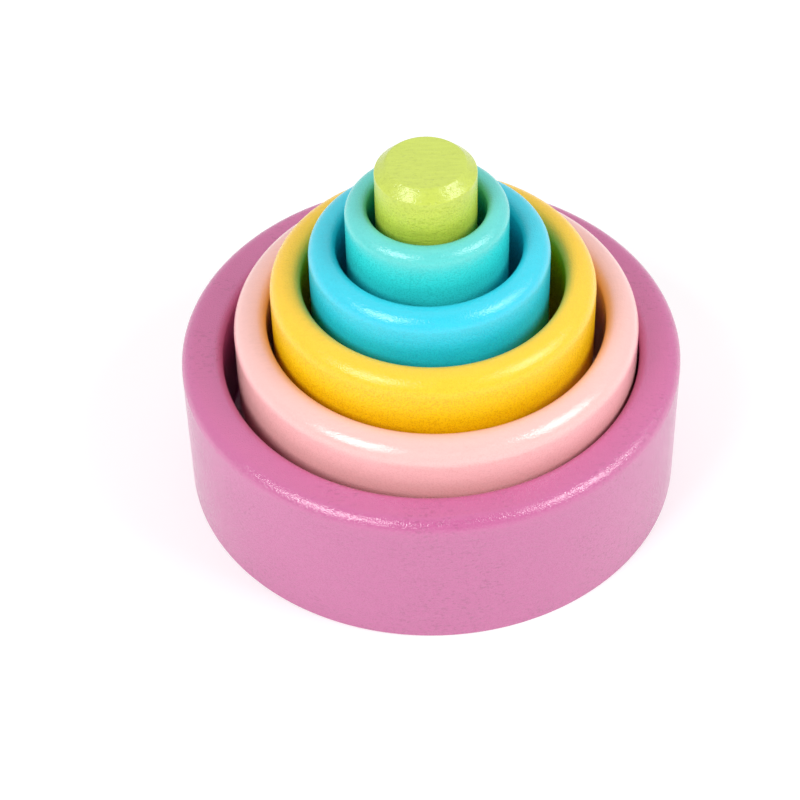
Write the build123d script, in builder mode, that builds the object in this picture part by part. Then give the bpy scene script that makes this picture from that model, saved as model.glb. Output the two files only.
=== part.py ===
from build123d import *
import os
from typing import NamedTuple

# Nesting cup toy: five turned wooden cups and a solid peg. Each piece stands on the floor
# of the next bigger cup, so the rims rise in even steps towards the middle.
# Millimetres, +Z up. The origin is under the middle of the biggest cup, on the surface
# that it stands on.

# ---- Driving dimensions -----------------------------------------------------------------
OVERALL_WIDTH = 115.0    # outside diameter of the biggest cup
OVERALL_HEIGHT = 90.0    # surface to the top of the peg, with every piece nested
PIECE_HEIGHT = 37.0      # each piece's own height: all are cut from one thickness of board
FOOT_ROUND = 0.5         # rounding round the foot of every piece
COVE = 0.4               # rounding in the corner at the bottom of a hollow
PEG_WIDTH = 22.5         # diameter of the peg
PEG_BEVEL = 2.5          # bevel round the top of the peg
PEG_SHIFT = -0.55        # how far the peg stands off the middle, along X


class Cup(NamedTuple):
    """The sizes that tell one cup from another."""
    name: str
    width: float         # outside diameter
    wall: float          # thickness of the wall
    floor: float         # thickness of the floor
    outer_round: float   # rounding of the rim's outer edge
    inner_round: float   # rounding of the rim's inner edge
    shift: float         # how far it stands off the middle, along X


CUPS = [
    Cup("magenta_cup", OVERALL_WIDTH, 9.6, 10.6, 2.9, 2.3, 0.0),
    Cup("pink_cup", 92.4, 7.6, 11.3, 4.7, 2.7, 1.3),
    Cup("yellow_cup", 73.6, 7.1, 9.4, 4.4, 2.5, 0.7),
    Cup("blue_cup", 54.0, 6.2, 10.5, 3.8, 2.2, 0.0),
    Cup("mint_cup", 36.3, 5.0, 11.2, 3.0, 1.8, -0.4),
]

os.makedirs("parts", exist_ok=True)


def save(part, name):
    """Label a finished piece and write it under its node's name."""
    part.label = name
    export_step(part, f"parts/{name}.step")


# ---- The five cups ----------------------------------------------------------------------
# Each one is turned: half of its section, with a rounded foot, rim and hollow, goes once
# round its own upright axis.
rest_height = 0.0
for cup in CUPS:
    radius = cup.width / 2
    hollow = radius - cup.wall
    upright = Plane(origin=(cup.shift, 0, rest_height), x_dir=(1, 0, 0), z_dir=(0, -1, 0))
    with BuildPart() as turned_cup:
        with BuildSketch(upright):
            with BuildLine():
                section = FilletPolyline(
                    (0, 0),
                    (radius, 0),
                    (radius, PIECE_HEIGHT),
                    (hollow, PIECE_HEIGHT),
                    (hollow, cup.floor),
                    (0, cup.floor),
                    radius=[FOOT_ROUND, cup.outer_round, cup.inner_round, COVE],
                )
                Line(section @ 1, section @ 0)
            make_face()
        revolve(axis=Axis(upright.origin, (0, 0, 1)))
    save(turned_cup.part, cup.name)
    rest_height += cup.floor

# ---- The peg ----------------------------------------------------------------------------
# A solid round dowel with a bevelled top edge, in the hollow of the smallest cup.
with BuildPart() as green_peg:
    with BuildSketch(Plane(origin=(PEG_SHIFT, 0, rest_height))):
        Circle(PEG_WIDTH / 2)
    extrude(amount=OVERALL_HEIGHT - rest_height)
    chamfer(green_peg.edges().filter_by(GeomType.CIRCLE).sort_by(Axis.Z)[-1], PEG_BEVEL)
    fillet(green_peg.edges().filter_by(GeomType.CIRCLE).sort_by(Axis.Z)[0], FOOT_ROUND)
save(green_peg.part, "green_peg")
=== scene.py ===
"""Looks of a nesting cup toy: five turned and painted wooden cups round a solid peg.

Every piece is a surface of revolution worked out from its CAD node's size, with the slight
unevenness of turned wood, and a painted finish through which the wood's grain shows.
Metres, in the CAD frame: +Z up, the biggest cup's middle at the origin.
"""
import math
from typing import NamedTuple

import bpy
import numpy as np
from mathutils import Matrix, Vector


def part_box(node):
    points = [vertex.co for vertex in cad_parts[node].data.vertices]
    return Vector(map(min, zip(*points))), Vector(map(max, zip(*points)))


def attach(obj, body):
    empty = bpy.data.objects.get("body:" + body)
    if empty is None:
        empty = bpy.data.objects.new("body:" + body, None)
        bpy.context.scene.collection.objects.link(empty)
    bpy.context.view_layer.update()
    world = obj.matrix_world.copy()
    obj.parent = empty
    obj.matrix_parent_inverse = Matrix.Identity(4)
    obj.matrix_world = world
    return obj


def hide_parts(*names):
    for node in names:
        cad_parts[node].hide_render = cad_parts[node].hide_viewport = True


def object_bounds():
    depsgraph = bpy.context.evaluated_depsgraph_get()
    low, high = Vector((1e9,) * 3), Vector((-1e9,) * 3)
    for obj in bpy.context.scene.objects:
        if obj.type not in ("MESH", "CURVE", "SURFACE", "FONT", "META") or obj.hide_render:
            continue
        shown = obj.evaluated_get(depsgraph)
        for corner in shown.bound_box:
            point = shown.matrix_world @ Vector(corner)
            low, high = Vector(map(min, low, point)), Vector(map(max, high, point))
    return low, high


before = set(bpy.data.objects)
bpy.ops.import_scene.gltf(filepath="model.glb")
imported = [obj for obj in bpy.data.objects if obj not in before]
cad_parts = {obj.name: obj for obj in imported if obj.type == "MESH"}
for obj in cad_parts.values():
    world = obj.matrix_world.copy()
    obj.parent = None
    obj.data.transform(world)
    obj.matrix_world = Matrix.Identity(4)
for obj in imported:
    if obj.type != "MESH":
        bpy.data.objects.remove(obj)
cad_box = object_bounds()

MM = 0.001

# ---- Sizes of the pieces ------------------------------------------------------------------
# Widths, heights and places come from the CAD nodes. What a node's box can't say is here.
FOOT_ROUND = 0.5 * MM     # rounding round the foot of every piece
COVE = 0.4 * MM           # rounding in the corner at the bottom of a hollow
PEG_BEVEL = 2.5 * MM      # bevel round the top of the peg
PEG_EDGE = 0.7 * MM       # radius of the bevel's two softened edges
RIM_DEPTH = 6.0 * MM      # how far below its top a piece still has the rim's paler colour, which is painted light
SKIN = 0.03 * MM          # how far the painted surface stays inside its CAD solid
WAVES = (2, 3, 5)         # waves round a piece, which make it a little uneven
WAVE_SHARE = 0.125        # height of each wave, as a share of SKIN
STEPS_AROUND = 360        # points round every piece


class Cup(NamedTuple):
    """One cup's section."""
    wall: float           # thickness of the wall
    floor: float          # thickness of the floor
    outer_round: float    # rounding of the rim's outer edge
    inner_round: float    # rounding of the rim's inner edge


CUPS = {
    "magenta_cup": Cup(9.6 * MM, 10.6 * MM, 3.2 * MM, 2.3 * MM),
    "pink_cup": Cup(7.6 * MM, 11.3 * MM, 4.7 * MM, 2.7 * MM),
    "yellow_cup": Cup(7.1 * MM, 9.4 * MM, 4.4 * MM, 2.5 * MM),
    "blue_cup": Cup(6.2 * MM, 10.5 * MM, 3.8 * MM, 2.2 * MM),
    "mint_cup": Cup(5.0 * MM, 11.2 * MM, 3.0 * MM, 1.8 * MM),
}


# ---- Surfaces -----------------------------------------------------------------------------
def straight(start, end, step):
    """Points from start towards end, evenly spaced about a step apart, without the end."""
    start = np.array(start, float)
    end = np.array(end, float)
    count = max(1, round(float(np.linalg.norm(end - start)) / step))
    share = np.arange(count)[:, None] / count
    return start + (end - start) * share


def rounded(centre, radius, first, last, count=9):
    """Arc points: centre plus radius times (cos a, sin a), for a from first to last degrees."""
    angle = np.radians(np.linspace(first, last, count))
    return np.array(centre, float) + radius * np.stack([np.cos(angle), np.sin(angle)], -1)


def cup_section(radius, height, cup, step=0.9 * MM):
    """Half a cup's section as (distance from the axis, height) points: out along the
    underside, up the wall, over the rounded rim, down the hollow and back to the axis."""
    hollow = radius - cup.wall
    outer = cup.outer_round
    inner = cup.inner_round
    return np.concatenate([
        straight((0, 0), (radius - FOOT_ROUND, 0), step),
        rounded((radius - FOOT_ROUND, FOOT_ROUND), FOOT_ROUND, -90, 0, 5),
        straight((radius, FOOT_ROUND), (radius, height - outer), step)[1:],
        rounded((radius - outer, height - outer), outer, 0, 90, 15),
        straight((radius - outer, height), (hollow + inner, height), step)[1:],
        rounded((hollow + inner, height - inner), inner, 90, 180, 12),
        straight((hollow, height - inner), (hollow, cup.floor + COVE), step)[1:],
        rounded((hollow - COVE, cup.floor + COVE), COVE, 0, -90, 4),
        straight((hollow - COVE, cup.floor), (0, cup.floor), step)[1:],
        np.array([[0, cup.floor]]),
    ])


def peg_section(radius, height, step=0.5 * MM):
    """Half the peg's section: out along the underside, up the side, over the bevel and in.
    Each end of the bevel is an arc of 45 degrees, tangent to what it joins."""
    reach = PEG_EDGE * math.tan(math.radians(22.5))
    lower = (radius - PEG_EDGE, height - PEG_BEVEL - reach)
    upper = (radius - PEG_BEVEL - reach, height - PEG_EDGE)
    lower_arc = rounded(lower, PEG_EDGE, 0, 45)
    upper_arc = rounded(upper, PEG_EDGE, 45, 90)
    return np.concatenate([
        straight((0, 0), (radius - FOOT_ROUND, 0), step),
        rounded((radius - FOOT_ROUND, FOOT_ROUND), FOOT_ROUND, -90, 0, 5),
        straight((radius, FOOT_ROUND), lower_arc[0], step)[1:],
        lower_arc,
        straight(lower_arc[-1], upper_arc[0], step)[1:],
        upper_arc,
        straight(upper_arc[-1], (0, height), step)[1:],
        np.array([[0, height]]),
    ])


def grid_faces(rows, columns):
    """Quads between neighbouring rows of a grid whose columns close into a ring, and a fan of
    triangles to the single point at each end: the point numbers are row times columns plus
    column, then the first pole and the last."""
    row, column = np.meshgrid(np.arange(rows - 1), np.arange(columns), indexing="ij")
    beside = (column + 1) % columns
    quads = np.stack([
        row * columns + column,
        row * columns + beside,
        (row + 1) * columns + beside,
        (row + 1) * columns + column,
    ], -1).reshape(-1, 4)
    ring = np.arange(columns)
    beside = (ring + 1) % columns
    first_pole = np.full(columns, rows * columns)
    last_pole = first_pole + 1
    end_row = (rows - 1) * columns
    fans = np.concatenate([
        np.stack([first_pole, beside, ring], -1),
        np.stack([last_pole, end_row + ring, end_row + beside], -1),
    ])
    return quads, fans


def new_mesh(name, points, quads, fans):
    """A smooth-shaded mesh object from arrays of points, quads and triangles. Its attribute
    "rim" is s * s * (3 - 2 s), where s falls from 1 at the top to 0 at RIM_DEPTH below it."""
    mesh = bpy.data.meshes.new(name)
    mesh.from_pydata(points.tolist(), [], quads.tolist() + fans.tolist())
    mesh.shade_smooth()
    share = np.clip(1 - (points[:, 2].max() - points[:, 2]) / RIM_DEPTH, 0, 1)
    rim = mesh.attributes.new("rim", "FLOAT", "POINT")
    rim.data.foreach_set("value", share * share * (3 - 2 * share))
    piece = bpy.data.objects.new(name, mesh)
    bpy.context.scene.collection.objects.link(piece)
    return piece


def turned_piece(name, section, middle, foot, seed):
    """A section turned once round an upright axis at middle = (x, y), standing at height foot.

    A point is (x + r cos t, y + r sin t, foot + z), where (r, z) is the section's point moved
    inwards by SKIN times (1 + a sum of sines of 2t, 3t and 5t, each with a phase drawn from
    seed). The two poles are moved inwards by SKIN."""
    ends = section[[0, -1]]
    body = section[1:-1]
    along = np.gradient(section, axis=0)[1:-1]
    outward = np.stack([along[:, 1], -along[:, 0]], -1)
    outward /= np.linalg.norm(outward, axis=1)[:, None]
    turn = np.linspace(0, 2 * math.pi, STEPS_AROUND, endpoint=False)
    random = np.random.default_rng(seed)
    waves = np.zeros((len(body), STEPS_AROUND))
    for count in WAVES:
        phase = random.uniform(0, 2 * math.pi)
        waves += WAVE_SHARE * np.sin(count * turn + phase)[None, :]
    depth = SKIN * (1 + waves)
    r = body[:, 0:1] - outward[:, 0:1] * depth
    z = body[:, 1:2] - outward[:, 1:2] * depth
    points = np.stack([
        middle[0] + r * np.cos(turn),
        middle[1] + r * np.sin(turn),
        foot + z + 0 * turn,
    ], -1).reshape(-1, 3)
    poles = np.array([
        [middle[0], middle[1], foot + ends[0, 1] + SKIN],
        [middle[0], middle[1], foot + ends[1, 1] - SKIN],
    ])
    quads, fans = grid_faces(len(body), STEPS_AROUND)
    return new_mesh(name, np.concatenate([points, poles]), quads, fans)


# ---- Materials ----------------------------------------------------------------------------
FACTOR_OUTPUT = 2         # an Attribute node's output that is a number


class Value:
    """A shader socket that takes part in Python arithmetic: each operation adds a node."""

    def __init__(self, tree, socket):
        self.tree = tree
        self.socket = socket

    def math(self, operation, *others):
        node = add_node(self.tree, "ShaderNodeMath", {"operation": operation})
        for place, value in enumerate((self, *others)):
            plug(self.tree, node.inputs[place], value)
        return Value(self.tree, node.outputs[0])

    def __add__(self, other):
        return self.math("ADD", other)

    __radd__ = __add__

    def __mul__(self, other):
        return self.math("MULTIPLY", other)

    __rmul__ = __mul__

    def __sub__(self, other):
        return self.math("SUBTRACT", other)

    def __rsub__(self, other):
        return self.math("MULTIPLY_ADD", -1.0, other)


def plug(tree, socket, value):
    """Links a socket to a Value, or sets it to a plain number, colour or vector."""
    if isinstance(value, Value):
        tree.links.new(value.socket, socket)
    else:
        socket.default_value = value


def add_node(tree, kind, settings=None, **sockets):
    """Adds a node: its settings first, then its sockets' values or links by name."""
    node = tree.nodes.new(kind)
    for setting, value in (settings or {}).items():
        if setting == "stops":
            set_stops(node.color_ramp, value)
        else:
            setattr(node, setting, value)
    for name, value in sockets.items():
        plug(tree, node.inputs[name.replace("_", " ")], value)
    return node


def set_stops(ramp, stops):
    """Gives a colour ramp its stops: (position, grey level) or (position, colour)."""
    while len(ramp.elements) < len(stops):
        ramp.elements.new(1.0)
    for element, (position, level) in zip(ramp.elements, stops):
        element.position = position
        element.color = level if isinstance(level, tuple) else (level, level, level, 1)


class Shader:
    """One material's node tree, with the nodes that every painted piece needs."""

    def __init__(self, name):
        self.material = bpy.data.materials.new(name)
        self.material.use_nodes = True
        self.tree = self.material.node_tree
        self.surface = self.tree.nodes["Principled BSDF"]
        self.place = Value(self.tree, self.node("ShaderNodeTexCoord").outputs["Object"])

    def node(self, kind, settings=None, **sockets):
        return add_node(self.tree, kind, settings, **sockets)

    def value(self, kind, settings=None, output=0, **sockets):
        return Value(self.tree, self.node(kind, settings, **sockets).outputs[output])

    def stretched(self, x, y, z):
        """Object coordinates scaled along each axis: under 1 makes a pattern longer."""
        return self.value("ShaderNodeMapping", Vector=self.place, Scale=(x, y, z))

    def noise(self, vector, scale, detail=2.0, roughness=0.5, distortion=0.0):
        return self.value("ShaderNodeTexNoise", Vector=vector, Scale=scale, Detail=detail,
                          Roughness=roughness, Distortion=distortion)

    def ramp(self, factor, *stops):
        return self.value("ShaderNodeValToRGB", {"stops": stops}, Fac=factor)

    def mix(self, factor, first, second):
        node = self.node("ShaderNodeMix", {"data_type": "RGBA"})
        for place, value in ((0, factor), (6, first), (7, second)):
            plug(self.tree, node.inputs[place], value)
        return Value(self.tree, node.outputs[2])

    def bump(self, height, distance, normal=None):
        node = self.node("ShaderNodeBump", Height=height, Distance=distance)
        if normal is not None:
            plug(self.tree, node.inputs["Normal"], normal)
        return Value(self.tree, node.outputs[0])

    def set(self, **sockets):
        for name, value in sockets.items():
            plug(self.tree, self.surface.inputs[name.replace("_", " ")], value)


class Paint(NamedTuple):
    """One colour of paint and how it lies on the wood."""
    side: tuple           # the walls' colour, as linear red, green and blue, painted deeper and more saturated as painted shade
    rim: tuple            # the rim's colour, painted paler and less saturated as painted light on the top
    index: float          # refractive index, high for a thick and shiny coat
    gloss: float          # roughness of the surface, low is glossy
    fibres: float         # height of the wood's raised fibres under the coat
    streaks: float        # how much darker the grooves between the fibres are, 0 to 1
    peel: float           # height of the coat's fine orange peel
    stipple: float        # how far the coat deepens in the hollows of its peel, 0 to 1
    pores: float          # how much of the wood's pores shows, 0 to 1


PAINTS = {
    "magenta_paint": Paint(
        side=(0.550, 0.122, 0.318), rim=(0.58, 0.130, 0.325), index=1.85, gloss=0.11,
        fibres=0.02 * MM, streaks=0.03, peel=0.13 * MM, stipple=0.12, pores=1.0),
    "pink_paint": Paint(
        side=(0.98, 0.540, 0.525), rim=(0.91, 0.535, 0.505), index=1.65, gloss=0.05,
        fibres=0.02 * MM, streaks=0.03, peel=0.06 * MM, stipple=0.16, pores=0.2),
    "yellow_paint": Paint(
        side=(0.99, 0.64, 0.003), rim=(0.97, 0.60, 0.044), index=1.50, gloss=0.18,
        fibres=0.03 * MM, streaks=0.03, peel=0.09 * MM, stipple=0.44, pores=0.3),
    "blue_paint": Paint(
        side=(0.021, 0.67, 0.91), rim=(0.040, 0.62, 0.775), index=1.60, gloss=0.20,
        fibres=0.03 * MM, streaks=0.03, peel=0.09 * MM, stipple=0.24, pores=0.3),
    "mint_paint": Paint(
        side=(0.034, 0.70, 0.675), rim=(0.130, 0.650, 0.620), index=1.60, gloss=0.20,
        fibres=0.03 * MM, streaks=0.03, peel=0.09 * MM, stipple=0.30, pores=0.3),
    "green_paint": Paint(
        side=(0.580, 0.690, 0.080), rim=(0.565, 0.665, 0.112), index=1.50, gloss=0.20,
        fibres=0.08 * MM, streaks=0.08, peel=0.06 * MM, stipple=0.20, pores=0.5),
}

BLACK = (0, 0, 0, 1)
WHITE = (1, 1, 1, 1)

# Patterns per metre, and how long a mark in the wood is along X.
FIBRE_SCALE = 1300.0
FIBRE_STRETCH = 0.12      # a fibre's marks are about eight times as long as wide
PORE_SCALE = 1500.0
PORE_STRETCH = 0.55
PEEL_SCALE = 2900.0
PATCH_SCALE = 60.0        # the patches in which pores show, and in which the gloss varies

RUBBED = 0.8              # how much of the stipple is rubbed off the rim
DEEPER = 0.7              # brightness of the coat in a hollow, next to a double coat's
PORE_SHADE = 0.15         # how dark the deepest pore is
GLOSS_CHANGE = 0.08       # change of roughness from patch to patch


def painted_wood(name, paint):
    """Satin paint on turned wood whose fibres run along X: fine ridges on the faces that lie
    along the fibres, patches of pores that show through, a fine orange peel over all, and less
    stipple on the rim. The rim's colour is painted light, paler and less saturated than the
    walls, whose deeper, more saturated colour is painted shade."""
    shader = Shader(name)
    rim = shader.value("ShaderNodeAttribute", {"attribute_name": "rim"}, FACTOR_OUTPUT)
    fibres = shader.noise(shader.stretched(FIBRE_STRETCH, 1.0, 1.0), FIBRE_SCALE, 3.0, 0.6, 0.3)
    peel = shader.noise(shader.place, PEEL_SCALE, 1.0)
    patches = shader.noise(shader.place, PATCH_SCALE)
    pits = shader.ramp(shader.noise(shader.stretched(PORE_STRETCH, 1.0, 1.0), PORE_SCALE, 1.0),
                       (0.55, 0.0), (0.70, 1.0))
    pores = pits * shader.ramp(patches, (0.42, 0.0), (0.56, 1.0)) * paint.pores

    # The coat: its two colours, the walls' painted shade and the rim's painted light, deeper in
    # the peel's hollows, darker in grooves and pores.
    # A colour times itself is what light keeps after it goes through the coat twice.
    coat = shader.mix(rim, (*paint.side, 1), (*paint.rim, 1))
    double_coat = (*(DEEPER * part * part for part in paint.side), 1)
    hollows = shader.ramp(peel, (0.40, 1.0), (0.50, 0.0)) * (1 - rim * RUBBED) * paint.stipple
    coat = shader.mix(hollows, coat, double_coat)
    grooves = shader.ramp(fibres, (0.35, 1.0), (0.65, 0.0)) * paint.streaks
    coat = shader.mix(grooves + pores * PORE_SHADE, coat, BLACK)
    shader.set(Base_Color=coat, IOR=paint.index)
    shader.set(Roughness=paint.gloss + (patches - 0.5) * GLOSS_CHANGE)

    # The relief: fibres and pores first, the peel over them.
    grain = shader.bump(fibres - pores, paint.fibres)
    shader.set(Normal=shader.bump(peel, paint.peel, grain))
    return shader.material


# ---- The pieces ---------------------------------------------------------------------------
def make_piece(node, seed):
    """The painted piece that stands for one CAD node."""
    low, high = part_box(node)
    radius = (high.x - low.x) / 2
    middle = ((low.x + high.x) / 2, 0.0)
    height = high.z - low.z
    if node in CUPS:
        section = cup_section(radius, height, CUPS[node])
    else:
        section = peg_section(radius, height)
    slot = node.split("_")[0] + "_paint"
    piece = turned_piece(node.replace("_", "_painted_"), section, middle, low.z, seed)
    piece.data.materials.append(painted_wood(slot, PAINTS[slot]))
    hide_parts(node)
    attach(piece, node)


for seed, node in enumerate([*CUPS, "green_peg"]):
    make_piece(node, seed)


# ---- Studio -------------------------------------------------------------------------------
FLOOR_HALF = 3.0
FLOOR_GREY = 0.70
FLOOR_GLOW = 0.36         # keeps the floor near white in the soft shadow round the object


def pale_floor():
    """A plain pale floor, with a faint glow of its own."""
    corners = [(-FLOOR_HALF, -FLOOR_HALF, 0), (FLOOR_HALF, -FLOOR_HALF, 0),
               (FLOOR_HALF, FLOOR_HALF, 0), (-FLOOR_HALF, FLOOR_HALF, 0)]
    mesh = bpy.data.meshes.new("floor")
    mesh.from_pydata(corners, [], [(0, 1, 2, 3)])
    floor = bpy.data.objects.new("floor", mesh)
    bpy.context.scene.collection.objects.link(floor)
    shader = Shader("floor_white")
    shader.set(Base_Color=(FLOOR_GREY, FLOOR_GREY, FLOOR_GREY, 1), Roughness=0.8,
               Emission_Color=WHITE, Emission_Strength=FLOOR_GLOW)
    mesh.materials.append(shader.material)


STUDIO_LEVEL = 0.635      # brightness of the studio at the sides
BACK_LIFT = 0.20          # how much brighter it is at the far side, and dimmer at the near one
CEILING_DROP = 0.52       # how much dimmer the dark stretch of ceiling is


def surroundings():
    """A bright, even studio, brighter at the far side, with a dark stretch of ceiling above
    and behind the viewer."""
    world = bpy.data.worlds.new("studio")
    bpy.context.scene.world = world
    world.use_nodes = True
    tree = world.node_tree
    direction = add_node(tree, "ShaderNodeTexCoord").outputs["Generated"]
    split = add_node(tree, "ShaderNodeSeparateXYZ", Vector=Value(tree, direction))
    towards_viewer = Value(tree, split.outputs["Y"]) * -1.0 + 0.5
    front = add_node(tree, "ShaderNodeValToRGB", {"stops": [(0.5, 0.0), (0.75, 1.0)]},
                     Fac=towards_viewer)
    high = add_node(tree, "ShaderNodeValToRGB",
                    {"stops": [(0.66, 0.0), (0.76, 1.0), (0.93, 1.0), (0.97, 0.0)]},
                    Fac=Value(tree, split.outputs["Z"]))
    dark = Value(tree, front.outputs["Color"]) * Value(tree, high.outputs["Color"])
    background = tree.nodes["Background"]
    background.inputs["Color"].default_value = WHITE
    level = Value(tree, split.outputs["Y"]) * BACK_LIFT + STUDIO_LEVEL
    plug(tree, background.inputs["Strength"], level - dark * CEILING_DROP)


SOFTBOX_AIM = Vector((0, 0, 0.05))
SOFTBOX_DISTANCE = 0.9


def softbox(name, azimuth, elevation, size, power):
    """A rectangular area light that faces the object. Azimuth is to the viewer's right, in
    degrees, size is in metres and power in watts."""
    light = bpy.data.lights.new(name, "AREA")
    light.shape = "RECTANGLE"
    light.size, light.size_y = size
    light.energy = power
    lamp = bpy.data.objects.new(name, light)
    bpy.context.scene.collection.objects.link(lamp)
    side = math.radians(azimuth)
    up = math.radians(elevation)
    away = Vector((math.sin(side) * math.cos(up), -math.cos(side) * math.cos(up), math.sin(up)))
    lamp.location = SOFTBOX_AIM + away * SOFTBOX_DISTANCE
    lamp.rotation_mode = "QUATERNION"
    lamp.rotation_quaternion = away.to_track_quat("Z", "Y")


CAMERA_DISTANCE = 0.5518            # from a point at half the object's height
CAMERA_ELEVATION = math.radians(43.3)
CAMERA_AIM = Vector((-0.0074, 0, 0.0175))
CAMERA_ROLL = math.radians(-1.56)
CAMERA_LENS = 108.9                 # in millimetres, on a sensor 36 mm wide


def camera():
    """The camera: in front of the object, looking down at it."""
    data = bpy.data.cameras.new("camera")
    data.lens = CAMERA_LENS
    data.sensor_width = 36.0
    data.clip_start = 0.01
    viewer = bpy.data.objects.new("camera", data)
    bpy.context.scene.collection.objects.link(viewer)
    mid_height = (cad_box[0].z + cad_box[1].z) / 2
    viewer.location = Vector((
        0,
        -CAMERA_DISTANCE * math.cos(CAMERA_ELEVATION),
        mid_height + CAMERA_DISTANCE * math.sin(CAMERA_ELEVATION),
    ))
    look = (CAMERA_AIM - viewer.location).to_track_quat("-Z", "Y").to_matrix()
    viewer.rotation_euler = (look @ Matrix.Rotation(CAMERA_ROLL, 3, "Z")).to_euler()
    bpy.context.scene.camera = viewer


pale_floor()
surroundings()
softbox("left_softbox", azimuth=-45, elevation=39, size=(0.40, 0.50), power=4.9)
softbox("right_softbox", azimuth=70, elevation=38, size=(0.44, 0.48), power=4.4)
camera()
bpy.context.scene.view_settings.view_transform = "Standard"
